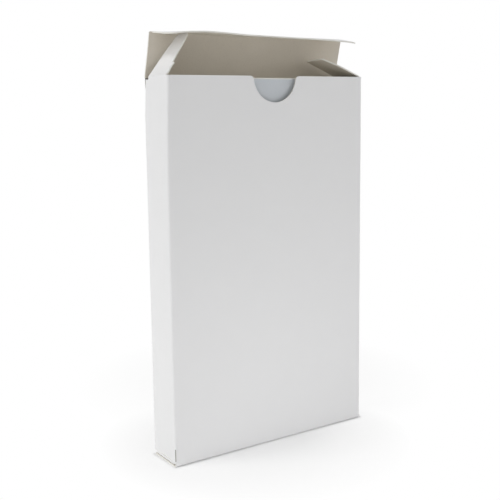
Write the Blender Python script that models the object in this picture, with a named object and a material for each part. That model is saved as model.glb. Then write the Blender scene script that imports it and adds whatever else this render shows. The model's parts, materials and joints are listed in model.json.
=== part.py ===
"""A folding tuck box for cards: one creased sheet of coated board, glued into a tube, with its lid open.

Each panel between two creases is a piece of its own. X is to the right, Y to the back and Z up.
The box stands on Z = 0, and its tube is centred on the origin.
"""

import math

import bmesh
import bpy

MM = 0.001

# The tube, outside
TUBE_WIDTH = 83.4 * MM
TUBE_DEPTH = 15.2 * MM
TUBE_HEIGHT = 132.5 * MM

# The board, its folds and the gaps that part its pieces
BOARD = 0.45 * MM
INNER_BEND = 0.35 * MM
SHEET_GAP = 0.1 * MM
GLUE_GAP = 0.05 * MM

# The half-moon thumb cut in the front panel
THUMB_RADIUS = 9.0 * MM
THUMB_DEPTH = 9.5 * MM
THUMB_LIP = 1.35 * MM
THUMB_SIDEWAYS = 1.2 * MM

# The seam
GLUE_FLAP_WIDTH = 11.0 * MM
GLUE_FLAP_SHORTER = 3.0 * MM
GLUE_FLAP_TAPER = 3.0 * MM

# The glued bottom
OUTER_FLAP_INSET = 0.3 * MM
INNER_FLAP_INSET = 3.0 * MM
OUTER_FLAP_SHORTER = 0.1 * MM

# The top dust flaps. The left one is cut further back from the rear, where the seam is
DUST_FLAP_LENGTH = 17.2 * MM
DUST_FLAP_SHOULDER = 5.1 * MM
DUST_FLAP_STEP = 0.8 * MM
DUST_FLAP_FRONT_TAPER = 1.0 * MM
LEFT_FLAP_BACK_ROOM = 2.7 * MM
LEFT_FLAP_BACK_TAPER = 2.3 * MM
RIGHT_FLAP_BACK_ROOM = 0.95 * MM
RIGHT_FLAP_BACK_TAPER = 3.85 * MM
RIGHT_FLAP_TAPER_START = 0.5 * MM
DUST_FLAP_CORNER = 1.0 * MM
DUST_FLAP_DROP = 0.25 * MM
RIGHT_FLAP_ANGLE = math.radians(21.0)
PROP_ROOM = 0.37 * MM

# The lid and its tongue
LID_RISE = 0.3 * MM
LID_SIDE_PLAY = 0.65 * MM
LID_CORNER = 0.4 * MM
LID_ANGLE = math.radians(76.0)
TONGUE_LENGTH = 13.5 * MM
TONGUE_CORNER = 6.5 * MM
TONGUE_FRONT_PLAY = 0.05 * MM
TONGUE_SIDE_PLAY = 1.0 * MM
TONGUE_ANGLE = math.radians(78.0)
SLIT_LENGTH = 5.85 * MM
SLIT_WIDTH = 0.2 * MM
SLIT_DROP = 0.9 * MM

# The cards
CARD_SIDE_PLAY = 1.0 * MM
CARD_FRONT_ROOM = 2.3 * MM
CARD_TOP_ROOM = 0.95 * MM
CARD_CORNER = 3.5 * MM

# How finely curves are drawn, and what cutters and curve filling need
BEND_STEPS = 4
THUMB_STEPS = 24
CORNER_STEPS = 8
CREASE_STEPS = 4
CREASE_ROUND_SHARE = 0.96
CUT_OVERRUN = 1.0 * MM
FILL_SCALE = 1000.0
WELD = 0.001 * MM

# Worked out from the above
HALF_WIDTH = TUBE_WIDTH / 2
HALF_DEPTH = TUBE_DEPTH / 2
BEND = BOARD + INNER_BEND
CREASE_ROOM = BOARD / 2 + SHEET_GAP
LAYER = BOARD + GLUE_GAP
LID_AXIS_Y = HALF_DEPTH - BOARD / 2
LID_AXIS_Z = TUBE_HEIGHT + LID_RISE
FLAP_AXIS_X = HALF_WIDTH - BOARD / 2
FLAP_AXIS_Z = TUBE_HEIGHT - DUST_FLAP_DROP
LID_LENGTH = TUBE_DEPTH - 2 * BOARD - TONGUE_FRONT_PLAY
DECK_BOTTOM = 2 * LAYER + BOARD + SHEET_GAP
# The left dust flap leans up until its tip props the tongue, with a little room under it
PROP_HEIGHT = LID_RISE + DUST_FLAP_DROP + LID_LENGTH * math.sin(LID_ANGLE) - BOARD - PROP_ROOM
LEFT_FLAP_ANGLE = math.asin(min(PROP_HEIGHT / DUST_FLAP_LENGTH, 1))

WHITE_BOARD = (0.82, 0.82, 0.83)
INSIDE_BOARD = (0.55, 0.52, 0.47)
CARD_STOCK = (0.68, 0.70, 0.73)

UPRIGHT = (0.0, 0.0, 0.0)
FACING_FRONT = (math.pi / 2, 0.0, 0.0)
FACING_SIDE = (math.pi / 2, 0.0, math.pi / 2)


def arc(centre, radius, start, end, steps=BEND_STEPS):
    """Points on a circle from one angle to another, in degrees."""
    points = []
    for step in range(steps + 1):
        angle = math.radians(start + (end - start) * step / steps)
        points.append((centre[0] + radius * math.cos(angle), centre[1] + radius * math.sin(angle)))
    return points


def rounded(corners, steps=CORNER_STEPS):
    """An outline through corners given as (x, y, radius), each corner with its own rounding."""
    outline = []
    for index, (x, y, radius) in enumerate(corners):
        if radius == 0:
            outline.append((x, y))
            continue
        before = corners[index - 1]
        after = corners[(index + 1) % len(corners)]
        into = math.atan2(y - before[1], x - before[0])
        out_of = math.atan2(after[1] - y, after[0] - x)
        turn = (out_of - into + math.pi) % (2 * math.pi) - math.pi
        side = math.copysign(1, turn)
        back = radius * math.tan(abs(turn) / 2)
        start = (x - back * math.cos(into), y - back * math.sin(into))
        centre = (start[0] - side * radius * math.sin(into), start[1] + side * radius * math.cos(into))
        first = math.degrees(into) - side * 90
        outline += arc(centre, radius, first, first + math.degrees(turn), steps)
    return outline


def extruded(name, outline, thickness):
    """A solid whose outline lies in its own XY plane, half its thickness to each side of it."""
    curve = bpy.data.curves.new(name, "CURVE")
    curve.dimensions = "2D"
    curve.fill_mode = "BOTH"
    # Blender fills a very small outline badly, so it is filled large and scaled back
    curve.extrude = thickness / 2 * FILL_SCALE
    spline = curve.splines.new("POLY")
    spline.points.add(len(outline) - 1)
    for point, (x, y) in zip(spline.points, outline):
        point.co = (x * FILL_SCALE, y * FILL_SCALE, 0, 1)
    spline.use_cyclic_u = True
    source = bpy.data.objects.new(name + "_outline", curve)
    bpy.context.scene.collection.objects.link(source)
    graph = bpy.context.evaluated_depsgraph_get()
    mesh = bpy.data.meshes.new_from_object(source.evaluated_get(graph))
    mesh.name = name
    bpy.data.objects.remove(source)
    solid = bmesh.new()
    solid.from_mesh(mesh)
    bmesh.ops.scale(solid, vec=[1 / FILL_SCALE] * 3, verts=solid.verts)
    bmesh.ops.remove_doubles(solid, verts=solid.verts, dist=WELD)
    bmesh.ops.dissolve_limit(
        solid, angle_limit=math.radians(0.5), verts=solid.verts, edges=solid.edges
    )
    bmesh.ops.recalc_face_normals(solid, faces=solid.faces)
    solid.to_mesh(mesh)
    solid.free()
    return bpy.data.objects.new(name, mesh)


def round_crease(piece):
    """Rounds the end of a flap that turns on its crease, so that it turns inside the crease's gap."""
    solid = bmesh.new()
    solid.from_mesh(piece.data)
    end = min(vertex.co.y for vertex in solid.verts)
    edges = [
        edge
        for edge in solid.edges
        if all(abs(vertex.co.y - end) < WELD for vertex in edge.verts)
        and abs(edge.verts[0].co.z - edge.verts[1].co.z) < WELD
    ]
    bmesh.ops.bevel(
        solid,
        geom=edges,
        offset=BOARD / 2 * CREASE_ROUND_SHARE,
        segments=CREASE_STEPS,
        profile=0.5,
        affect="EDGES",
    )
    solid.to_mesh(piece.data)
    solid.free()


def material(name, colour, roughness):
    """A plain matt surface in the colour of a board or a card."""
    made = bpy.data.materials.new(name)
    made.use_nodes = True
    shader = made.node_tree.nodes["Principled BSDF"]
    shader.inputs["Base Color"].default_value = (*colour, 1.0)
    shader.inputs["Roughness"].default_value = roughness
    shader.inputs["Metallic"].default_value = 0.0
    return made


def add(piece, collection, colour, location, rotation=UPRIGHT, parent=None):
    """Puts a piece in its collection and its place, with a material of its own."""
    piece.location = location
    piece.rotation_euler = rotation
    piece.parent = parent
    piece.data.materials.clear()
    piece.data.materials.append(material(piece.name + "_finish", colour, 0.55))
    collection.objects.link(piece)
    return piece


def cut(piece, cutter, cutters):
    """Cuts one shape out of a piece and keeps the cutter out of the render."""
    cutters.objects.link(cutter)
    cutter.hide_render = True
    cutter.display_type = "WIRE"
    hole = piece.modifiers.new(cutter.name, "BOOLEAN")
    hole.operation = "DIFFERENCE"
    hole.solver = "EXACT"
    hole.object = cutter


def folded(centre_a, centre_b, start):
    """The section of a wall with a quarter bend at each end, both of which turn left."""
    outer = arc(centre_a, BEND, start, start + 90) + arc(centre_b, BEND, start + 90, start + 180)
    inner = arc(centre_b, INNER_BEND, start + 180, start + 90)
    return outer + inner + arc(centre_a, INNER_BEND, start + 90, start)


def thumb_cut_outline():
    """Half moon with rounded lips, its highest points on the panel's top edge and its centre on X = 0."""
    centre_y = THUMB_RADIUS - THUMB_DEPTH
    rise = centre_y + THUMB_LIP
    lip_x = math.sqrt((THUMB_RADIUS + THUMB_LIP) ** 2 - rise**2)
    tilt = math.degrees(math.atan2(rise, lip_x))
    left_lip = arc((-lip_x, -THUMB_LIP), THUMB_LIP, 90, tilt, CORNER_STEPS)
    moon = arc((0, centre_y), THUMB_RADIUS, 180 + tilt, 360 - tilt, THUMB_STEPS)
    right_lip = arc((lip_x, -THUMB_LIP), THUMB_LIP, 180 - tilt, 90, CORNER_STEPS)
    above = [(lip_x, CUT_OVERRUN), (-lip_x, CUT_OVERRUN)]
    return left_lip + moon[1:-1] + right_lip + above


def build_front_panel(box, cutters):
    left = (-HALF_WIDTH + BEND, -HALF_DEPTH + BEND)
    right = (HALF_WIDTH - BEND, -HALF_DEPTH + BEND)
    low = BEND + SHEET_GAP
    panel = extruded("front_panel", folded(left, right, 180), TUBE_HEIGHT - low)
    add(panel, box, WHITE_BOARD, (0, 0, (low + TUBE_HEIGHT) / 2))
    thumb = extruded("thumb_cut", thumb_cut_outline(), BOARD + 2 * CUT_OVERRUN)
    thumb.location = (THUMB_SIDEWAYS, -HALF_DEPTH + BOARD / 2, TUBE_HEIGHT)
    thumb.rotation_euler = FACING_FRONT
    cut(panel, thumb, cutters)


def build_back_panel(box):
    """Its left bend lies one layer further in than the right one, inside the left side panel."""
    right = (HALF_WIDTH - BEND, HALF_DEPTH - BEND)
    left = (-HALF_WIDTH + LAYER + BEND, HALF_DEPTH - BEND)
    low = LAYER + BEND + SHEET_GAP
    high = LID_AXIS_Z - CREASE_ROOM
    panel = extruded("back_panel", folded(right, left, 0), high - low)
    add(panel, box, WHITE_BOARD, (0, 0, (low + high) / 2))


def build_side_panels(box):
    """The right one ends before the back bend, and the left one's raw edge covers the seam."""
    front = -HALF_DEPTH + BEND + SHEET_GAP
    low = LAYER + BEND + SHEET_GAP
    high = FLAP_AXIS_Z - CREASE_ROOM
    for name, side, back in (
        ("left_side_panel", -1, HALF_DEPTH),
        ("right_side_panel", 1, HALF_DEPTH - BEND - SHEET_GAP),
    ):
        outline = [(front, low), (back, low), (back, high), (front, high)]
        panel = extruded(name, outline, BOARD)
        add(panel, box, WHITE_BOARD, (side * FLAP_AXIS_X, 0, 0), FACING_SIDE)


def build_glue_flap(box):
    fold = HALF_DEPTH - BEND - SHEET_GAP
    free = HALF_DEPTH - GLUE_FLAP_WIDTH
    low = GLUE_FLAP_SHORTER
    high = TUBE_HEIGHT - GLUE_FLAP_SHORTER
    outline = [
        (fold, low),
        (fold, high),
        (free, high - GLUE_FLAP_TAPER),
        (free, low + GLUE_FLAP_TAPER),
    ]
    flap = extruded("glue_flap", outline, BOARD)
    add(flap, box, INSIDE_BOARD, (-FLAP_AXIS_X + LAYER, 0, 0), FACING_SIDE)


def build_bottom(box):
    """The outer flap folds from the front panel and the inner one, a layer higher, from the back panel."""
    bend = (-HALF_DEPTH + BEND, BEND)
    edge = HALF_DEPTH - OUTER_FLAP_SHORTER
    outline = arc(bend, BEND, 180, 270) + [(edge, 0), (edge, BOARD)] + arc(bend, INNER_BEND, 270, 180)
    outer = extruded("bottom_outer_flap", outline, TUBE_WIDTH - 2 * OUTER_FLAP_INSET)
    add(outer, box, WHITE_BOARD, (0, 0, 0), FACING_SIDE)
    bend = (HALF_DEPTH - BEND, LAYER + BEND)
    edge = -HALF_DEPTH + BEND + SHEET_GAP
    outline = arc(bend, BEND, 0, -90) + [(edge, LAYER), (edge, LAYER + BOARD)]
    outline += arc(bend, INNER_BEND, -90, 0)
    inner = extruded("bottom_inner_flap", outline, TUBE_WIDTH - 2 * INNER_FLAP_INSET)
    add(inner, box, INSIDE_BOARD, (0, 0, 0), FACING_SIDE)
    for name, side in (("bottom_left_dust_flap", 1), ("bottom_right_dust_flap", -1)):
        build_bottom_dust_flap(box, name, side)


def build_bottom_dust_flap(box, name, side):
    """It folds in from a side panel and climbs onto the inner flap with a small step."""
    bend = (-HALF_WIDTH + BEND, LAYER + BEND)
    top_of_step = -HALF_WIDTH + INNER_FLAP_INSET - SHEET_GAP
    foot_of_step = top_of_step - LAYER
    shift = BOARD * math.tan(math.pi / 8)
    tip = -HALF_WIDTH + DUST_FLAP_LENGTH
    under = arc(bend, BEND, 180, 270)
    under += [(foot_of_step, LAYER), (top_of_step, 2 * LAYER), (tip, 2 * LAYER)]
    over = [(tip, 2 * LAYER + BOARD), (top_of_step - shift, 2 * LAYER + BOARD)]
    over += [(foot_of_step - shift, LAYER + BOARD)] + arc(bend, INNER_BEND, 270, 180)
    outline = [(side * x, z) for x, z in under + over]
    flap = extruded(name, outline, TUBE_DEPTH - 2 * BEND - 2 * SHEET_GAP)
    add(flap, box, INSIDE_BOARD, (0, 0, 0), FACING_FRONT)


def build_dust_flap(box, name, side, angle, back_room, back_taper, taper_start):
    """A top dust flap. Its own X runs along the crease and its own Y away from it."""
    base = BEND + SHEET_GAP
    step = base + DUST_FLAP_STEP
    back = TUBE_DEPTH - back_room
    corners = [
        (base, -BOARD / 2, 0),
        (base, DUST_FLAP_SHOULDER, 0),
        (step, DUST_FLAP_SHOULDER + DUST_FLAP_STEP, 0),
        (step + DUST_FLAP_FRONT_TAPER, DUST_FLAP_LENGTH, DUST_FLAP_CORNER),
        (back - back_taper, DUST_FLAP_LENGTH, DUST_FLAP_CORNER),
        (back, taper_start, 0),
        (back, -BOARD / 2, 0),
    ]
    outline = [(side * (x - HALF_DEPTH), y) for x, y in rounded(corners)]
    flap = extruded(name, outline, BOARD)
    round_crease(flap)
    place = (side * FLAP_AXIS_X, 0, FLAP_AXIS_Z)
    add(flap, box, WHITE_BOARD, place, (angle, 0, side * math.pi / 2))


def build_lid(box):
    """The lid turns on the back panel's top crease, and its own Y runs away from that crease."""
    half = HALF_WIDTH - LID_SIDE_PLAY
    crease = half - SLIT_LENGTH
    shoulder = crease + SLIT_WIDTH
    end = LID_LENGTH + BOARD / 2
    hollow = LID_LENGTH - CREASE_ROOM
    corners = [
        (-half, -BOARD / 2, 0),
        (half, -BOARD / 2, 0),
        (half, end, LID_CORNER),
        (shoulder, end, 0),
        (shoulder, hollow, 0),
        (-shoulder, hollow, 0),
        (-shoulder, end, 0),
        (-half, end, LID_CORNER),
    ]
    lid = extruded("lid_panel", rounded(corners), BOARD)
    round_crease(lid)
    add(lid, box, WHITE_BOARD, (0, LID_AXIS_Y, LID_AXIS_Z), (LID_ANGLE, 0, math.pi))
    half = HALF_WIDTH - BOARD - TONGUE_SIDE_PLAY
    corners = [
        (-crease, -BOARD / 2, 0),
        (crease, -BOARD / 2, 0),
        (crease, SLIT_DROP, 0),
        (half, SLIT_DROP, 0),
        (half, TONGUE_LENGTH, TONGUE_CORNER),
        (-half, TONGUE_LENGTH, TONGUE_CORNER),
        (-half, SLIT_DROP, 0),
        (-crease, SLIT_DROP, 0),
    ]
    tongue = extruded("tuck_tongue", rounded(corners), BOARD)
    round_crease(tongue)
    add(tongue, box, WHITE_BOARD, (0, LID_LENGTH, 0), (-TONGUE_ANGLE, 0, 0), lid)


def build_card_deck(box):
    """The cards stand on the bottom and lean on the back panel."""
    left = -HALF_WIDTH + LAYER + BOARD + CARD_SIDE_PLAY
    right = HALF_WIDTH - BOARD - CARD_SIDE_PLAY
    high = TUBE_HEIGHT - CARD_TOP_ROOM
    front = -HALF_DEPTH + BOARD + CARD_FRONT_ROOM
    back = HALF_DEPTH - BOARD - SHEET_GAP
    corners = [
        (left, DECK_BOTTOM, CARD_CORNER),
        (right, DECK_BOTTOM, CARD_CORNER),
        (right, high, CARD_CORNER),
        (left, high, CARD_CORNER),
    ]
    deck = extruded("card_deck", rounded(corners), back - front)
    add(deck, box, CARD_STOCK, (0, (front + back) / 2, 0), FACING_FRONT)


def main():
    for thing in list(bpy.data.objects):
        bpy.data.objects.remove(thing)
    box = bpy.data.collections.new("tuck_box")
    cutters = bpy.data.collections.new("cutters")
    for collection in (box, cutters):
        bpy.context.scene.collection.children.link(collection)
    cutters.hide_render = True
    build_front_panel(box, cutters)
    build_back_panel(box)
    build_side_panels(box)
    build_glue_flap(box)
    build_bottom(box)
    left_cut = (LEFT_FLAP_BACK_ROOM, LEFT_FLAP_BACK_TAPER, DUST_FLAP_SHOULDER)
    build_dust_flap(box, "left_dust_flap", -1, LEFT_FLAP_ANGLE, *left_cut)
    right_cut = (RIGHT_FLAP_BACK_ROOM, RIGHT_FLAP_BACK_TAPER, RIGHT_FLAP_TAPER_START)
    build_dust_flap(box, "right_dust_flap", 1, RIGHT_FLAP_ANGLE, *right_cut)
    build_lid(box)
    build_card_deck(box)


main()
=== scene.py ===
"""A white tuck box for cards, standing with its lid open: one creased and glued sheet of coated board."""
import json
import math
import random

import bpy
from mathutils import Matrix, Vector

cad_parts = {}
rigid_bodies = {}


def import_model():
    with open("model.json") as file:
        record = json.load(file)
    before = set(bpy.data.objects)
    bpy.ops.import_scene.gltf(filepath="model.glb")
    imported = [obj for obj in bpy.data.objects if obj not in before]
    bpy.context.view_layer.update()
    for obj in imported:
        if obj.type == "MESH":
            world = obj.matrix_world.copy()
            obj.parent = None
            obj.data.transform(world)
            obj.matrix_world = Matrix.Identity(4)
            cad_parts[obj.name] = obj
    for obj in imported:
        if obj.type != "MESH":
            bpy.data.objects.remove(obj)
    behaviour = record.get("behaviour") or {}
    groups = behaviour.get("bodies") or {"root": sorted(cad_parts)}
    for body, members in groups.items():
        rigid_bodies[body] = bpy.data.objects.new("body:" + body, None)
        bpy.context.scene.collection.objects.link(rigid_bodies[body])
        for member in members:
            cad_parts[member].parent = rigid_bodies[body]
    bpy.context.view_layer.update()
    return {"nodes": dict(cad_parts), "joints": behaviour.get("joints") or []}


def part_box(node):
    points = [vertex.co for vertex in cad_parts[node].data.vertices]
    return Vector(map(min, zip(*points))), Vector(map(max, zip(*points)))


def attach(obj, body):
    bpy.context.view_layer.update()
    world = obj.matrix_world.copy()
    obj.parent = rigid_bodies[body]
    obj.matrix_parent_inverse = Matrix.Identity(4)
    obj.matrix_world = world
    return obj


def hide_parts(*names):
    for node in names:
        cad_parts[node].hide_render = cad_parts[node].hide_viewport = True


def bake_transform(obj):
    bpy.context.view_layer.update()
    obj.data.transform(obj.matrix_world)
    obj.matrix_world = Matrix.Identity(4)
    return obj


for thing in list(bpy.data.objects):
    bpy.data.objects.remove(thing)
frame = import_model()

# The camera stands in front of the box to its left, a little below the open lid, and looks down at it.
# Its place, turn and lens were worked out from the corners of the tube.
mm = 0.001
camera_place = Vector((-183.43, -257.53, 122.83)) * mm
camera_turn = 0.6064
camera_dip = -0.1639
camera_roll = -0.0109

forward = Vector((
    math.sin(camera_turn) * math.cos(camera_dip),
    math.cos(camera_turn) * math.cos(camera_dip),
    math.sin(camera_dip),
))
level = forward.cross(Vector((0, 0, 1))).normalized()
upward = level.cross(forward)
right = level * math.cos(camera_roll) + upward * math.sin(camera_roll)
upward = upward * math.cos(camera_roll) - level * math.sin(camera_roll)
camera_data = bpy.data.cameras.new("camera")
camera_data.lens = 63.35
camera_data.sensor_width = 36
camera_data.clip_start = 10 * mm
camera_data.clip_end = 20
camera = bpy.data.objects.new("camera", camera_data)
bpy.context.scene.collection.objects.link(camera)
camera.matrix_world = Matrix((
    (right.x, upward.x, -forward.x, camera_place.x),
    (right.y, upward.y, -forward.y, camera_place.y),
    (right.z, upward.z, -forward.z, camera_place.z),
    (0, 0, 0, 1),
))
bpy.context.scene.camera = camera
bpy.context.scene.view_settings.view_transform = "Standard"

# A white studio with a bright wall on each side and a paler patch in front on the left, one soft lamp
# high up on the left, and two weak ones low in front and on the left, which lift the foot of the box.
# What the camera sees behind it is white.
bright_ways = (
    ((-1.0, 0.0, 0.0), 2.0, 1.43),
    ((1.0, 0.0, 0.0), 2.0, 2.38),
    ((-0.64, -0.64, 0.42), 5.0, 0.50),
)
world = bpy.data.worlds.new("studio")
bpy.context.scene.world = world
world.use_nodes = True
sky_tree = world.node_tree
sky_tree.nodes.clear()
output = sky_tree.nodes.new("ShaderNodeOutputWorld")
ambient = sky_tree.nodes.new("ShaderNodeBackground")
backdrop = sky_tree.nodes.new("ShaderNodeBackground")
chooser = sky_tree.nodes.new("ShaderNodeMixShader")
rays = sky_tree.nodes.new("ShaderNodeLightPath")
direction = sky_tree.nodes.new("ShaderNodeTexCoord")


def counted(tree, kind, first, second):
    """One step of arithmetic in a node tree, on links or numbers."""
    step = tree.nodes.new("ShaderNodeMath")
    step.operation = kind
    for place, value in ((0, first), (1, second)):
        if isinstance(value, (int, float)):
            step.inputs[place].default_value = value
        else:
            tree.links.new(value, step.inputs[place])
    return step.outputs[0]


sky = 0.0
for way, sharpness, strength in bright_ways:
    lean = sky_tree.nodes.new("ShaderNodeVectorMath")
    lean.operation = "DOT_PRODUCT"
    lean.inputs[1].default_value = way
    sky_tree.links.new(direction.outputs["Generated"], lean.inputs[0])
    lobe = counted(sky_tree, "POWER", counted(sky_tree, "MAXIMUM", lean.outputs["Value"], 0.0), sharpness)
    sky = counted(sky_tree, "ADD", sky, counted(sky_tree, "MULTIPLY", lobe, strength))
sky_tree.links.new(sky, ambient.inputs["Strength"])
sky_tree.links.new(rays.outputs["Is Camera Ray"], chooser.inputs[0])
sky_tree.links.new(ambient.outputs[0], chooser.inputs[1])
sky_tree.links.new(backdrop.outputs[0], chooser.inputs[2])
sky_tree.links.new(chooser.outputs[0], output.inputs["Surface"])
for light in (ambient, backdrop):
    light.inputs["Color"].default_value = (1.0, 1.0, 1.0, 1.0)


def lamp(name, place, aim, size, power, colour):
    """An area lamp of a width and height that faces a point."""
    data = bpy.data.lights.new(name, "AREA")
    data.shape = "RECTANGLE"
    data.size, data.size_y = size
    data.energy = power
    data.color = colour
    made = bpy.data.objects.new(name, data)
    bpy.context.scene.collection.objects.link(made)
    made.location = place
    made.rotation_euler = (Vector(aim) - Vector(place)).to_track_quat("-Z", "Y").to_euler()


lamp("high_lamp", (-0.40, 0.10, 0.88), (0, 0, 0.1), (0.20, 0.20), 2.1, (1.0, 1.0, 0.99))
lamp("low_lamp", (0.0, -0.125, 0.016), (0, 0, 0.016), (0.16, 0.02), 0.0217, (1.0, 1.0, 1.0))
lamp("low_side_lamp", (-0.125, 0.0, 0.02), (0, 0, 0.02), (0.02, 0.02), 0.004, (1.0, 1.0, 0.96))

# A pale sweep of paper under the box. It holds a faint round shadow and a fainter one behind it on the
# right, which fade to white, and a thin dark line where the box touches it.
floor_half = 3.0
floor_drop = 0.02 * mm
foot_half = (0.0414, 0.0072, 0.0)
shadow_centre = (-0.003, 0.0, 0.0)
shadow_reach = (0.018, 0.058)
shadow_share = 0.62
rear_centre = (0.040, 0.060, 0.0)
rear_reach = (0.045, 0.080)
rear_share = 0.14
contact_reach = (0.0007, 0.0020)
bpy.ops.object.select_all(action="DESELECT")
bpy.ops.mesh.primitive_plane_add(size=2 * floor_half, location=(0, 0, -floor_drop))
floor = bpy.context.object
floor.name = "floor"
floor_finish = bpy.data.materials.new("floor_paper")
floor_finish.use_nodes = True
floor_tree = floor_finish.node_tree
shader = floor_tree.nodes["Principled BSDF"]
shader.inputs["Base Color"].default_value = (0.93, 0.93, 0.93, 1)
shader.inputs["Roughness"].default_value = 0.9
where = floor_tree.nodes.new("ShaderNodeTexCoord")


def moved(kind, first, second):
    """One step on a place on the floor, with a fixed second place."""
    step = floor_tree.nodes.new("ShaderNodeVectorMath")
    step.operation = kind
    floor_tree.links.new(first, step.inputs[0])
    step.inputs[1].default_value = second
    return step.outputs["Value" if kind in ("LENGTH", "DISTANCE") else "Vector"]


def faded(distance, reach, share):
    """A share that falls to nothing between two distances."""
    fade = floor_tree.nodes.new("ShaderNodeMapRange")
    fade.inputs["From Min"].default_value, fade.inputs["From Max"].default_value = reach
    fade.inputs["To Min"].default_value, fade.inputs["To Max"].default_value = share, 0.0
    floor_tree.links.new(distance, fade.inputs["Value"])
    return fade.outputs["Result"]


round_shadow = faded(moved("DISTANCE", where.outputs["Object"], shadow_centre), shadow_reach, shadow_share)
rear_shadow = faded(moved("DISTANCE", where.outputs["Object"], rear_centre), rear_reach, rear_share)
round_shadow = counted(floor_tree, "MAXIMUM", round_shadow, rear_shadow)
beside_foot = moved("SUBTRACT", moved("ABSOLUTE", where.outputs["Object"], (0, 0, 0)), foot_half)
from_foot = moved("LENGTH", moved("MAXIMUM", beside_foot, (0, 0, 0)), (0, 0, 0))
contact = faded(from_foot, contact_reach, 1.0)
shaded = counted(floor_tree, "MAXIMUM", round_shadow, contact)
rays = floor_tree.nodes.new("ShaderNodeLightPath")
seen = counted(floor_tree, "MAXIMUM", rays.outputs["Is Camera Ray"], rays.outputs["Is Glossy Ray"])
white = counted(floor_tree, "MULTIPLY", seen, counted(floor_tree, "SUBTRACT", 1.0, shaded))
glow = floor_tree.nodes.new("ShaderNodeEmission")
paper = floor_tree.nodes.new("ShaderNodeMixShader")
floor_tree.links.new(white, paper.inputs[0])
floor_tree.links.new(shader.outputs[0], paper.inputs[1])
floor_tree.links.new(glow.outputs[0], paper.inputs[2])
floor_tree.links.new(paper.outputs[0], floor_tree.nodes["Material Output"].inputs["Surface"])
floor.data.materials.append(floor_finish)

# The front panel is one wall of the sheet and carries the two soft folds to the sides. The board is
# white and clay coated outside, warm grey chip inside and pale at its cut edges, as in the thumb cut.


def paper_fibre():
    """A node group: a colour made uneven by cloudy patches, fine fibre and scattered specks."""
    group = bpy.data.node_groups.new("paper_fibre", "ShaderNodeTree")
    for label, kind, value in (
        ("Colour", "NodeSocketColor", (1, 1, 1, 1)),
        ("Dark", "NodeSocketColor", (0.8, 0.8, 0.8, 1)),
        ("Cloud Scale", "NodeSocketFloat", 160.0),
        ("Cloud", "NodeSocketFloat", 0.1),
        ("Fibre Scale", "NodeSocketFloat", 2500.0),
        ("Fibre", "NodeSocketFloat", 0.1),
        ("Specks", "NodeSocketFloat", 0.0),
        ("Rough Low", "NodeSocketFloat", 0.5),
        ("Rough High", "NodeSocketFloat", 0.6),
    ):
        made = group.interface.new_socket(label, in_out="INPUT", socket_type=kind)
        made.default_value = value
    group.interface.new_socket("Colour", in_out="OUTPUT", socket_type="NodeSocketColor")
    group.interface.new_socket("Roughness", in_out="OUTPUT", socket_type="NodeSocketFloat")
    group.interface.new_socket("Height", in_out="OUTPUT", socket_type="NodeSocketFloat")
    nodes, links = group.nodes, group.links
    taken = nodes.new("NodeGroupInput")
    given = nodes.new("NodeGroupOutput")
    where = nodes.new("ShaderNodeTexCoord")
    cloud = nodes.new("ShaderNodeTexNoise")
    cloud.inputs["Detail"].default_value = 5
    fibre = nodes.new("ShaderNodeTexNoise")
    fibre.inputs["Detail"].default_value = 3
    fibre.inputs["Roughness"].default_value = 0.6
    fibre.inputs["Distortion"].default_value = 1.4
    speck = nodes.new("ShaderNodeTexVoronoi")
    speck.inputs["Scale"].default_value = 900
    for noise in (cloud, fibre, speck):
        links.new(where.outputs["Object"], noise.inputs["Vector"])
    links.new(taken.outputs["Cloud Scale"], cloud.inputs["Scale"])
    links.new(taken.outputs["Fibre Scale"], fibre.inputs["Scale"])
    near = nodes.new("ShaderNodeMapRange")
    near.inputs["From Min"].default_value = 0.10
    near.inputs["From Max"].default_value = 0.22
    near.inputs["To Min"].default_value = 1.0
    near.inputs["To Max"].default_value = 0.0
    links.new(speck.outputs["Distance"], near.inputs["Value"])
    darkened = 0.0
    for source, amount in (
        (cloud.outputs["Fac"], "Cloud"),
        (fibre.outputs["Fac"], "Fibre"),
        (near.outputs["Result"], "Specks"),
    ):
        darkened = counted(group, "ADD", darkened, counted(group, "MULTIPLY", source, taken.outputs[amount]))
    shade = nodes.new("ShaderNodeMix")
    shade.data_type = "RGBA"
    links.new(darkened, shade.inputs["Factor"])
    links.new(taken.outputs["Colour"], shade.inputs["A"])
    links.new(taken.outputs["Dark"], shade.inputs["B"])
    links.new(shade.outputs["Result"], given.inputs["Colour"])
    rough = nodes.new("ShaderNodeMapRange")
    links.new(cloud.outputs["Fac"], rough.inputs["Value"])
    links.new(taken.outputs["Rough Low"], rough.inputs["To Min"])
    links.new(taken.outputs["Rough High"], rough.inputs["To Max"])
    links.new(rough.outputs["Result"], given.inputs["Roughness"])
    links.new(fibre.outputs["Fac"], given.inputs["Height"])
    return group


fibre_group = paper_fibre()


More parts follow.
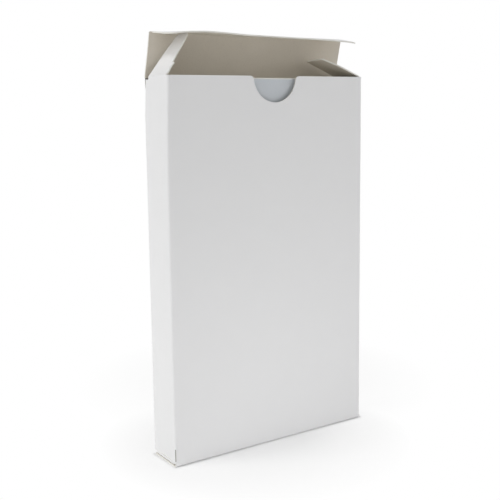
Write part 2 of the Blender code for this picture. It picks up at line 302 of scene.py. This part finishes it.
def paper_finish(name, colour, dark, amounts, rough, relief, specular, scales=(160.0, 2500.0)):
    """A paper surface: its colour, the tone of its patches, fibres and specks, and its roughness."""
    made = bpy.data.materials.new(name)
    made.use_nodes = True
    nodes, links = made.node_tree.nodes, made.node_tree.links
    shader = nodes["Principled BSDF"]
    shader.inputs["Specular IOR Level"].default_value = specular
    paper = nodes.new("ShaderNodeGroup")
    paper.node_tree = fibre_group
    paper.inputs["Colour"].default_value = (*colour, 1)
    paper.inputs["Dark"].default_value = (*dark, 1)
    for label, amount in zip(("Cloud", "Fibre", "Specks"), amounts):
        paper.inputs[label].default_value = amount
    paper.inputs["Cloud Scale"].default_value = scales[0]
    paper.inputs["Fibre Scale"].default_value = scales[1]
    paper.inputs["Rough Low"].default_value = rough[0]
    paper.inputs["Rough High"].default_value = rough[1]
    bump = nodes.new("ShaderNodeBump")
    bump.inputs["Strength"].default_value = 0.5
    bump.inputs["Distance"].default_value = relief
    links.new(paper.outputs["Colour"], shader.inputs["Base Color"])
    links.new(paper.outputs["Roughness"], shader.inputs["Roughness"])
    links.new(paper.outputs["Height"], bump.inputs["Height"])
    links.new(bump.outputs["Normal"], shader.inputs["Normal"])
    return made


coated_white = paper_finish(
    "coated_white",
    colour=(0.862, 0.862, 0.866),
    dark=(0.78, 0.78, 0.785),
    amounts=(0.16, 0.10, 0.0),
    rough=(0.42, 0.56),
    relief=0.004 * mm,
    specular=0.4,
)
grey_chip = paper_finish(
    "grey_chip",
    colour=(0.78, 0.728, 0.64),
    dark=(0.54, 0.49, 0.41),
    amounts=(0.25, 0.35, 0.16),
    rough=(0.85, 0.95),
    relief=0.012 * mm,
    specular=0.2,
)
pale_cut = paper_finish(
    "pale_cut",
    colour=(0.86, 0.85, 0.80),
    dark=(0.68, 0.66, 0.60),
    amounts=(0.1, 0.3, 0.0),
    rough=(0.8, 0.9),
    relief=0.05 * mm,
    specular=0.2,
    scales=(160.0, 5000.0),
)
board_thickness = 0.45 * mm
hair = 0.01 * mm
close_by = 0.004 * mm
same_spot = 0.001 * mm
smooth_below = math.radians(40)


def select_only(thing):
    """Leaves edit mode and makes one object the selected and active one."""
    if bpy.context.mode != "OBJECT":
        bpy.ops.object.mode_set(mode="OBJECT")
    bpy.ops.object.select_all(action="DESELECT")
    thing.select_set(True)
    bpy.context.view_layer.objects.active = thing


def pick(thing, test=None):
    """Goes into edit mode with the points selected that pass a test, and what lies between them."""
    select_only(thing)
    mesh = thing.data
    chosen = {vertex.index for vertex in mesh.vertices if test is None or test(vertex.co)}
    for vertex in mesh.vertices:
        vertex.select = vertex.index in chosen
    for edge in mesh.edges:
        edge.select = chosen.issuperset(edge.vertices)
    for face in mesh.polygons:
        face.select = chosen.issuperset(face.vertices)
    bpy.ops.object.mode_set(mode="EDIT")
    bpy.ops.mesh.select_mode(type="VERT")


def pick_faces(thing, test):
    """Goes into edit mode with only the faces selected that pass a test."""
    select_only(thing)
    mesh = thing.data
    chosen = {face.index for face in mesh.polygons if test(face)}
    corners = {corner for index in chosen for corner in mesh.polygons[index].vertices}
    for vertex in mesh.vertices:
        vertex.select = vertex.index in corners
    for edge in mesh.edges:
        edge.select = False
    for face in mesh.polygons:
        face.select = face.index in chosen
    bpy.context.tool_settings.mesh_select_mode = (False, False, True)
    bpy.ops.object.mode_set(mode="EDIT")


def at(axis, place, low=None, high=None, across=0):
    """A test for points whose coordinate on one axis is a place, and on another lies in a range."""
    def test(point):
        if abs(point[axis] - place) > close_by:
            return False
        return low is None or low - close_by < point[across] < high + close_by
    return test


def sheet(name, centre, width, height, turn=(0, 0, 0)):
    """A flat sheet of a width and height, which faces up before its turn in degrees."""
    bpy.ops.object.select_all(action="DESELECT")
    bpy.ops.mesh.primitive_plane_add(size=1, location=centre, rotation=[math.radians(one) for one in turn])
    made = bpy.context.object
    made.name = name
    made.scale = (width, height, 1)
    bpy.ops.object.transform_apply(location=True, rotation=True, scale=True)
    return made


def rows(thing, axis, low, high, count):
    """Cuts even rows across a sheet, so that it can bend."""
    for step in range(count + 1):
        point, way = Vector(), Vector()
        point[axis] = low + (high - low) * step / count
        way[axis] = 1
        pick(thing)
        bpy.ops.mesh.bisect(plane_co=point, plane_no=way)


def fold_over(thing, line, way, radius, segments=6):
    """Extrudes the border on a line, and rounds the corner where the sheet turns over there."""
    pick(thing, line)
    bpy.ops.mesh.extrude_region_move(TRANSFORM_OT_translate={"value": way})
    pick(thing, line)
    bpy.ops.mesh.bevel(offset=radius, segments=segments, affect="EDGES")
    select_only(thing)


def thicken(thing, outward):
    """Turns a sheet's white face outward and gives it the board's thickness, inner face and cut edges."""
    pick(thing)
    bpy.ops.mesh.remove_doubles(threshold=same_spot)
    bpy.ops.mesh.select_all(action="SELECT")
    bpy.ops.mesh.normals_make_consistent(inside=False)
    select_only(thing)
    widest = max(thing.data.polygons, key=lambda face: face.area)
    if widest.normal.dot(Vector(outward)) < 0:
        thing.data.flip_normals()
    for finish in (coated_white, grey_chip, pale_cut):
        thing.data.materials.append(finish)
    wall = thing.modifiers.new("board", "SOLIDIFY")
    wall.thickness = board_thickness
    wall.offset = -1
    wall.use_even_offset = True
    wall.material_offset = 1
    wall.material_offset_rim = 2
    bpy.ops.object.modifier_apply(modifier=wall.name)


# The full box has bellied and leans a little out of true, so a cage round all of it moves its boards.
cage_columns, cage_layers, cage_rows = 5, 3, 9
cage_low = Vector((-42.0, -10.0, 0.0)) * mm
cage_high = Vector((42.0, 8.0, 148.0)) * mm
tube_low, tube_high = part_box("front_panel")
half_width = tube_high.x
half_depth = -tube_low.y
tube_top = tube_high.z
front_bow = 0.20 * mm
back_bow = 0.15 * mm
left_corner_lean = (
    (0, -0.80),
    (25, -0.95),
    (43, -0.98),
    (60, -0.95),
    (90, -0.92),
    (116, -0.62),
    (124, -0.30),
    (131, 0.20),
    (150, 0.27),
)
right_lean = ((0, 0.45), (132, 0.0), (150, 0.0))


def along(table, place):
    """Reads a value between the entries of a table of places and values, both in millimetres."""
    place = place / mm
    for (low, before), (high, after) in zip(table, table[1:]):
        if place <= high:
            share = min(max((place - low) / (high - low), 0), 1)
            return (before + (after - before) * share) * mm
    return table[-1][1] * mm


bpy.ops.object.select_all(action="DESELECT")
bpy.ops.object.add(type="LATTICE", location=(cage_low + cage_high) / 2)
cage = bpy.context.object
cage.name = "cage"
cage.scale = cage_high - cage_low
cage.data.points_u, cage.data.points_v, cage.data.points_w = cage_columns, cage_layers, cage_rows
for course in ("u", "v", "w"):
    setattr(cage.data, "interpolation_type_" + course, "KEY_CARDINAL")
bpy.context.view_layer.update()
for knot in cage.data.points:
    place = cage.matrix_world @ knot.co
    across = 1 - min(abs(place.x) / half_width, 1) ** 2
    tall = math.sin(math.pi * min(place.z / tube_top, 1)) ** 0.7 if 0 < place.z < tube_top else 0.0
    move = Vector()
    if place.y < 0 and abs(place.y) > half_depth / 2:
        move.y = -front_bow * across * tall
        if place.x < 0:
            move.x = along(left_corner_lean, place.z) * min(-place.x / half_width, 1)
    if place.y > half_depth / 2:
        move.y = back_bow * across * tall
    if place.x > 0:
        move.x = along(right_lean, place.z) * min(place.x / half_width, 1)
    knot.co_deform = cage.matrix_world.inverted() @ (place + move)


def settle(thing):
    """Moves a board with the cage, then smooths its folds and keeps its flat faces and cut edges crisp."""
    select_only(thing)
    give = thing.modifiers.new("cage", "LATTICE")
    give.object = cage
    bpy.ops.object.modifier_apply(modifier=give.name)
    bpy.ops.object.shade_smooth_by_angle(angle=smooth_below)
    flat = thing.modifiers.new("flat_faces", "WEIGHTED_NORMAL")
    flat.keep_sharp = True
    bpy.ops.object.modifier_apply(modifier=flat.name)


bend = 1.15 * mm
bend_reach = 1.25 * mm
thumb_radius = 9.15 * mm
thumb_centre = Vector((1.35 * mm, -half_depth, tube_top + 0.1 * mm))
lip_length = 1.4 * mm
crack = (1.9 * mm, 6.4 * mm)
crack_place = Vector((-half_width + 0.45 * bend, -half_depth + 0.30 * bend, 0))
crack_width = 0.13 * bend
front = sheet(
    "front_board",
    (0, -half_depth, (tube_top + bend_reach) / 2),
    2 * half_width,
    tube_top - bend_reach,
    (90, 0, 0),
)
bpy.ops.object.select_all(action="DESELECT")
bpy.ops.mesh.primitive_cylinder_add(
    vertices=96, radius=thumb_radius, depth=4 * mm, location=thumb_centre, rotation=(math.pi / 2, 0, 0)
)
punch = bpy.context.object
hole = front.modifiers.new("thumb_cut", "BOOLEAN")
hole.operation = "DIFFERENCE"
hole.solver = "EXACT"
hole.object = punch
select_only(front)
bpy.ops.object.modifier_apply(modifier=hole.name)
bpy.data.objects.remove(punch)
pick(front, lambda point: tube_top - lip_length < point.z < tube_top - hair)
bpy.ops.mesh.dissolve_verts()
pick(front, at(2, tube_top, -half_width / 2, half_width / 2))
bpy.ops.mesh.bevel(offset=lip_length * 0.96, segments=6, affect="VERTICES")
for side in (-1, 1):
    fold_over(front, at(0, side * half_width), (0, bend_reach, 0), bend)
rows(front, 2, 8 * mm, 128 * mm, 15)
rows(front, 2, crack[0], crack[1], 1)
rows(front, 0, -36 * mm, 36 * mm, 12)
thicken(front, (0, -1, 0))
# A short crack low in the left fold gets a dark finish. The crack is real wear, and its darkness is painted
# shade inside the opened crease. The same dark finish paints the shade in the open seam at the back.
crack_wear_and_painted_shade = paper_finish(
    "crack_wear_and_painted_shade",
    colour=(0.30, 0.285, 0.26),
    dark=(0.20, 0.19, 0.17),
    amounts=(0.2, 0.4, 0.0),
    rough=(0.85, 0.95),
    relief=0.05 * mm,
    specular=0.2,
)
front.data.materials.append(crack_wear_and_painted_shade)
wear_and_painted_shade_slot = front.data.materials.find(crack_wear_and_painted_shade.name)
for face in front.data.polygons:
    middle = face.center
    near = math.hypot(middle.x - crack_place.x, middle.y - crack_place.y) < crack_width
    if near and crack[0] < middle.z < crack[1]:
        face.material_index = wear_and_painted_shade_slot
settle(front)
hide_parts("front_panel")
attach(front, "tube")

# The back panel is folded like the front one on its right. On its left the fold lies one layer further
# in, because the glue flap goes on from it inside the left wall.
layer = 0.5 * mm
crease_reach = 0.9 * mm


def crease(name):
    """The joint of a crease in the construction, by its name."""
    return next(joint for joint in frame["joints"] if joint["name"] == name)


lid_joint = crease("lid_fold")
lid_axis = Vector(lid_joint["pos_m"])
back_top = lid_axis.z - crease_reach
back_low = layer + bend_reach
back = sheet(
    "back_board",
    (layer / 2, half_depth, (back_top + back_low) / 2),
    2 * half_width - layer,
    back_top - back_low,
    (90, 0, 180),
)
for edge in (-half_width + layer, half_width):
    fold_over(back, at(0, edge), (0, -bend_reach, 0), bend)
rows(back, 2, 8 * mm, 120 * mm, 14)
rows(back, 2, 124 * mm, 130 * mm, 3)
rows(back, 0, -39 * mm, 39 * mm, 13)
seam_gape = 0.4 * mm
seam_push = 1.05 * mm
gape_reach = 9.0 * mm
seam_end = 128.0 * mm
painted_seam_shade_depth = 4.0 * mm
seam_side = -half_width + 2 * mm
fold_end = -half_width + layer + bend


def push(thing, test, shift):
    """Pushes the points that pass a test along the box's depth, and takes the board near them along."""
    pick(thing, test)
    bpy.ops.transform.translate(
        value=(0, shift, 0),
        use_proportional_edit=True,
        proportional_edit_falloff="SMOOTH",
        proportional_size=gape_reach,
    )
    select_only(thing)


pick(back, lambda point: point.x < fold_end - 2 * hair and point.z > seam_end - hair)
bpy.ops.mesh.delete(type="FACE")
pick(back, lambda point: abs(point.x - fold_end) < 2 * hair and point.z > seam_end - hair)
bpy.ops.mesh.extrude_region_move(TRANSFORM_OT_translate={"value": (-bend, 0, 0)})
thicken(back, (0, 1, 0))
# The inner face and cut edge at the top of the open seam get the dark finish: painted shade in the gap
# behind the left wall's raw edge.
back.data.materials.append(crack_wear_and_painted_shade)
for face in back.data.polygons:
    middle = face.center
    if middle.z > seam_end - painted_seam_shade_depth and middle.x < fold_end and face.normal.y < 0.5:
        face.material_index = wear_and_painted_shade_slot
push(back, lambda point: point.x < seam_side and point.z > back_top - hair, seam_gape)
settle(back)
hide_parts("back_panel")
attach(back, "tube")

# The two narrow walls are flat between their folds. The left one ends in a raw edge that covers the
# glued seam, and the right one goes on into the back fold.
flap_joints = {-1: crease("left_flap_fold"), 1: crease("right_flap_fold")}
flap_height = flap_joints[1]["pos_m"][2]
side_top = flap_height - crease_reach
side_low = layer + bend_reach
for side, name, back_end in ((-1, "left", half_depth), (1, "right", half_depth - bend_reach)):
    front_end = -half_depth + bend_reach
    wall = sheet(
        name + "_side_board",
        (side * half_width, (front_end + back_end) / 2, (side_low + side_top) / 2),
        back_end - front_end,
        side_top - side_low,
        (90, 0, side * 90),
    )
    rows(wall, 2, 8 * mm, 128 * mm, 15)
    rows(wall, 1, -4 * mm, 4 * mm, 4)
    thicken(wall, (side, 0, 0))
    if side < 0:
        near_by = 10 * hair
        push(wall, lambda point: point.y > back_end - near_by and point.z > side_top - near_by, -seam_push)
    settle(wall)
    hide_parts(name + "_side_panel")
    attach(wall, "tube")

# The glued bottom is four flaps, each folded in from one wall: the narrow ones first, over the back
# flap, and the front flap outside them all, on which the box stands.
bottom_bend = 0.7 * mm
outer = sheet("bottom_board", (0, 0, 0), 2 * half_width - 0.6 * mm, 2 * half_depth - 0.2 * mm, (180, 0, 0))
pick(outer, at(1, -half_depth + 0.1 * mm))
bpy.ops.transform.translate(value=(0, -0.1 * mm, 0))
fold_over(outer, at(1, -half_depth), (0, 0, bend_reach), bottom_bend)
rows(outer, 0, -36 * mm, 36 * mm, 12)
thicken(outer, (0, 0, -1))
settle(outer)
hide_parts("bottom_outer_flap")
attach(outer, "tube")
inner = sheet(
    "bottom_inner_board",
    (0, 0.35 * mm, layer),
    2 * half_width - 6 * mm,
    2 * half_depth - 0.7 * mm,
    (180, 0, 0),
)
fold_over(inner, at(1, half_depth), (0, 0, bend_reach), bend)
thicken(inner, (0, 0, -1))
settle(inner)
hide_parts("bottom_inner_flap")
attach(inner, "tube")
bottom_flap_length = 17.2 * mm
step_foot = half_width - 3.5 * mm
step_top = half_width - 3.0 * mm
for side, name in ((-1, "left"), (1, "right")):
    flap = sheet(
        "bottom_" + name + "_dust_board",
        (side * (half_width - bottom_flap_length / 2), 0, layer),
        bottom_flap_length,
        2 * (half_depth - bend_reach),
        (180, 0, 0),
    )
    rows(flap, 0, side * step_foot, side * step_top, 1)
    pick(flap, lambda point: side * point.x < step_top + hair)
    bpy.ops.transform.translate(value=(0, 0, layer))
    fold_over(flap, at(0, side * half_width), (0, 0, bend_reach), bottom_bend)
    thicken(flap, (0, 0, -1))
    settle(flap)
    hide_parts("bottom_" + name + "_dust_flap")
    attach(flap, "tube")

# The glue flap is the strip that goes on from the back panel and is glued inside the left wall. It is
# the same board, with only its grey side in sight, and its own solid has the right shape.
seam = frame["nodes"]["glue_flap"]
seam.data.materials.clear()
seam.data.materials.append(grey_chip)

# Two dust flaps close the top under the lid. Each is cut free at the corners, goes on from its wall
# over a crease, and has a shoulder in front that holds the tongue. They have sprung up and twisted.
flap_lengths = {-1: 17.2 * mm, 1: 17.7 * mm}
half_board = board_thickness / 2
flap_fronts = {
    -1: ((0.0, -6.35), (0.5, -6.5), (1.2, -6.9), (3.0, -6.5), (4.9, -6.7), (5.15, -6.95), (5.35, -5.7),
         (8.5, -5.2), (13.9, -4.95), (17.2, -4.45)),
    1: ((0.0, -6.35), (0.5, -6.5), (1.2, -7.0), (5.2, -6.7), (8.5, -6.4), (11.7, -6.0), (14.5, -5.05),
        (17.7, -4.1)),
}
flap_backs = {
    -1: ((0.0, 4.7), (0.5, 4.5), (8.8, 3.6), (13.8, 2.55), (17.2, 1.8)),
    1: ((0.0, 6.5), (0.8, 6.0), (3.0, 5.6), (8.8, 5.2), (13.8, 5.0), (17.7, 4.7)),
}
flap_angles = {-1: (54.0, 54.0), 1: (22.8, 20.6)}
flap_corners = {-1: (1.0 * mm, 2.6 * mm), 1: (0.8 * mm, 0.3 * mm)}
flap_ribs_mm = [10.2, 12.8, 15.5]
crease_radius = 0.42 * mm
crease_give = 2 * mm
twist_from = 6.8 * mm
twist_reach = 10 * mm


def outer_corner(axis, first, second):
    """Where the outer faces of two boards meet that turn about an axis in their middle layer."""
    middle = (first + second).normalized()
    return axis + middle * (half_board / middle.dot(first))


for side, name in ((-1, "left"), (1, "right")):
    joint = flap_joints[side]
    axis = Vector(joint["pos_m"])
    rise = -math.radians(joint["range_deg"][0])
    way = Vector((-side * math.cos(rise), 0, math.sin(rise)))
    face = Vector((side * math.sin(rise), 0, math.cos(rise)))
    corner = outer_corner(axis, Vector((side, 0, 0)), face)
    strip = sheet(
        name + "_dust_flap_board",
        (side * half_width, 0, (side_top + corner.z) / 2),
        2 * half_depth,
        corner.z - side_top,
        (90, 0, side * 90),
    )
    flap_length = flap_lengths[side]
    fold_over(strip, at(2, corner.z), way * flap_length, crease_radius, 5)
    for reach in [front_point[0] for front_point in flap_fronts[side][1:-1]] + flap_ribs_mm:
        pick(strip)
        bpy.ops.mesh.bisect(plane_co=corner + way * reach * mm, plane_no=way)
    select_only(strip)
    for point in strip.data.vertices:
        reach = (point.co - corner).dot(way) if point.co.z > side_top + hair else 0.0
        low, high = along(flap_fronts[side], reach), along(flap_backs[side], reach)
        point.co.y = low if point.co.y < 0 else high
    tip = corner + way * flap_length
    for end, corner_round in zip((-1, 1), flap_corners[side]):
        pick(strip, lambda point: (point - tip).dot(way) > -hair and point.y * end > 0)
        bpy.ops.mesh.bevel(offset=corner_round, segments=5, affect="VERTICES")
    rows(strip, 1, -4.5 * mm, 2 * mm, 5)
    thicken(strip, (side, 0, 0))
    select_only(strip)
    front_angle, back_angle = (math.radians(one) - rise for one in flap_angles[side])
    for point in strip.data.vertices:
        reach = (point.co - axis).dot(way)
        share = min(max(reach / crease_give, 0), 1) if point.co.z > axis.z else 0.0
        depth = min(max((point.co.y + twist_from) / twist_reach, 0), 1)
        turn = (front_angle + (back_angle - front_angle) * depth) * share
        swing = Matrix.Rotation(turn * side, 3, "Y")
        pivot = Vector((axis.x, point.co.y, axis.z))
        point.co = pivot + swing @ (point.co - pivot)
    settle(strip)
    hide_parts(name + "_dust_flap")
    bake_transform(strip)

# The lid goes on from the back panel over its crease. Slits from both ends free its front corners, and
# between them it turns over into the tongue.
lid_rise = -math.radians(lid_joint["range_deg"][0])
lid_way = Vector((0, -math.cos(lid_rise), math.sin(lid_rise)))
lid_face = Vector((0, math.sin(lid_rise), math.cos(lid_rise)))
lid_corner = outer_corner(lid_axis, Vector((0, 1, 0)), lid_face)
tongue_axis = Vector(crease("tongue_fold")["pos_m"])
tongue_corner = outer_corner(tongue_axis, lid_face, Vector((0, 0, 1)))
lid_length = (tongue_corner - lid_corner).length
lid_sideways = -0.3 * mm
lid_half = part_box("lid_panel")[1].x
slit_length = 5.85 * mm
slit_width = 0.2 * mm
hollow = 0.85 * mm
tab_round = 0.4 * mm
lid_ribs_mm = (2.0, 4.5, 7.0, 9.5, 12.0)
lid = sheet(
    "lid_board",
    (lid_sideways, half_depth, (back_top + lid_corner.z) / 2),
    2 * lid_half,
    lid_corner.z - back_top,
    (90, 0, 180),
)
fold_over(lid, at(2, lid_corner.z), lid_way * lid_length, crease_radius, 4)
tabs = lid_half - slit_length + slit_width
lid_end = lid_corner + lid_way * lid_length
pick(lid, lambda point: (point - lid_end).dot(lid_way) > -hair)
bpy.ops.mesh.bevel(offset=tab_round, segments=4, affect="VERTICES")
pick(lid)
bpy.ops.mesh.bisect(plane_co=lid_end - lid_way * hollow, plane_no=lid_way)
rows(lid, 0, lid_sideways - tabs, lid_sideways + tabs, 18)
pick_faces(
    lid,
    lambda face: (face.center - lid_end).dot(lid_way) > -hollow and abs(face.center.x - lid_sideways) < tabs,
)
bpy.ops.mesh.delete(type="FACE")
for reach in lid_ribs_mm:
    pick(lid)
    bpy.ops.mesh.bisect(plane_co=lid_corner + lid_way * reach * mm, plane_no=lid_way)
thicken(lid, (0, 1, 0))
push(lid, lambda point: point.x < seam_side and point.z < back_top + hair, seam_gape)
settle(lid)
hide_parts("lid_panel")
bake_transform(lid)

# The tongue tucks in behind the front panel. It is the free end of the sheet, rounded in front. It
# droops to both sides of the left dust flap, whose tip holds it up.
tongue_length = 13.5 * mm
tongue_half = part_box("tuck_tongue")[1].x
tongue_round = 6.5 * mm
shoulder = 0.9 * mm
crease_half = lid_half - slit_length
tongue_fold_radius = 0.68 * mm
tongue_droop = (
    (-41, 1.6), (-37, 0.87), (-34, 0.57), (-28, 0.34), (-24, 0.38), (-20, 0.53), (-16, 0.72),
    (-13, 0.9), (-6, 1.0), (6, 1.18), (15, 1.3), (25, 1.52), (34, 1.85), (41, 2.7),
)
droop_power = 1.1
tongue_back = tongue_corner.y - shoulder
tongue_front = tongue_axis.y - tongue_length
tongue = sheet(
    "tongue_board",
    (lid_sideways, (tongue_back + tongue_front) / 2, tongue_corner.z),
    2 * tongue_half,
    tongue_back - tongue_front,
)
pick(tongue, at(1, tongue_front))
bpy.ops.mesh.bevel(offset=tongue_round, segments=10, affect="VERTICES")
rows(tongue, 0, lid_sideways - crease_half, lid_sideways + crease_half, 20)
pick(tongue, at(1, tongue_back, lid_sideways - crease_half, lid_sideways + crease_half))
bpy.ops.mesh.extrude_region_move(TRANSFORM_OT_translate={"value": (0, shoulder, 0)})
fold_over(tongue, at(1, tongue_corner.y), lid_way * -hollow, tongue_fold_radius, 6)
rows(tongue, 1, tongue_front + 1.5 * mm, tongue_back - 0.8 * mm, 6)
thicken(tongue, (0, 0, 1))
for point in tongue.data.vertices:
    reach = max(tongue_axis.y - point.co.y, 0)
    point.co.z -= along(tongue_droop, point.co.x) * (reach / tongue_length) ** droop_power
settle(tongue)
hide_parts("tuck_tongue")
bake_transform(tongue)

# The deck is a stack of blank, smooth cards with round corners. They stand on the bottom and lean on
# the back panel, each a touch out of line with the next.
card_low, card_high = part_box("card_deck")
card_count = 40
card_corner = 3.5 * mm
card_thickness = 0.30 * mm
card_border = 0.32 * mm
card_front = -6.1 * mm
card_pitch = (card_high.y - card_front) / card_count
card_aside_mm = 0.18
card_lift_mm = (0.15, 0.36)
# The cards are white, but their faces are given a darker blue-grey: painted shade from lying inside the box.
# Their gloss is their own.
card_painted_shade_finish = paper_finish(
    "card_face",
    colour=(0.61, 0.645, 0.68),
    dark=(0.54, 0.575, 0.61),
    amounts=(0.12, 0.05, 0.0),
    rough=(0.14, 0.20),
    relief=0.001 * mm,
    specular=0.5,
)
card_middle = (card_low + card_high) / 2
card = sheet("card", card_middle, card_high.x - card_low.x, card_high.z - card_low.z, (90, 0, 0))
pick(card)
bpy.ops.mesh.bevel(offset=card_corner, segments=8, affect="VERTICES")
select_only(card)
card.data.materials.append(card_painted_shade_finish)
card.data.materials.append(pale_cut)
wall = card.modifiers.new("card", "SOLIDIFY")
wall.thickness = card_thickness
wall.offset = 0
wall.material_offset_rim = 1
bpy.ops.object.modifier_apply(modifier=wall.name)
pick_faces(card, lambda face: abs(face.normal.y) > 0.9)
bpy.ops.mesh.inset(thickness=card_border, depth=0.0)
select_only(card)
for face in card.data.polygons:
    face.material_index = 0 if face.select else 1
bpy.ops.object.shade_smooth_by_angle(angle=smooth_below)
shuffle = random.Random(11)
cards = []
for number in range(card_count):
    copy = bpy.data.objects.new("card_%02d" % (number + 1), card.data.copy())
    bpy.context.scene.collection.objects.link(copy)
    aside = shuffle.uniform(-card_aside_mm, card_aside_mm) * mm
    lifted = shuffle.uniform(*card_lift_mm) * mm
    back = card_front + card_pitch * (number + 0.5) - card_middle.y
    copy.data.transform(Matrix.Translation((aside, back, lifted)))
    cards.append(copy)
bpy.data.objects.remove(card)
for copy in cards:
    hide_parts("card_deck")
    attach(copy, "tube")

bpy.data.objects.remove(cage)
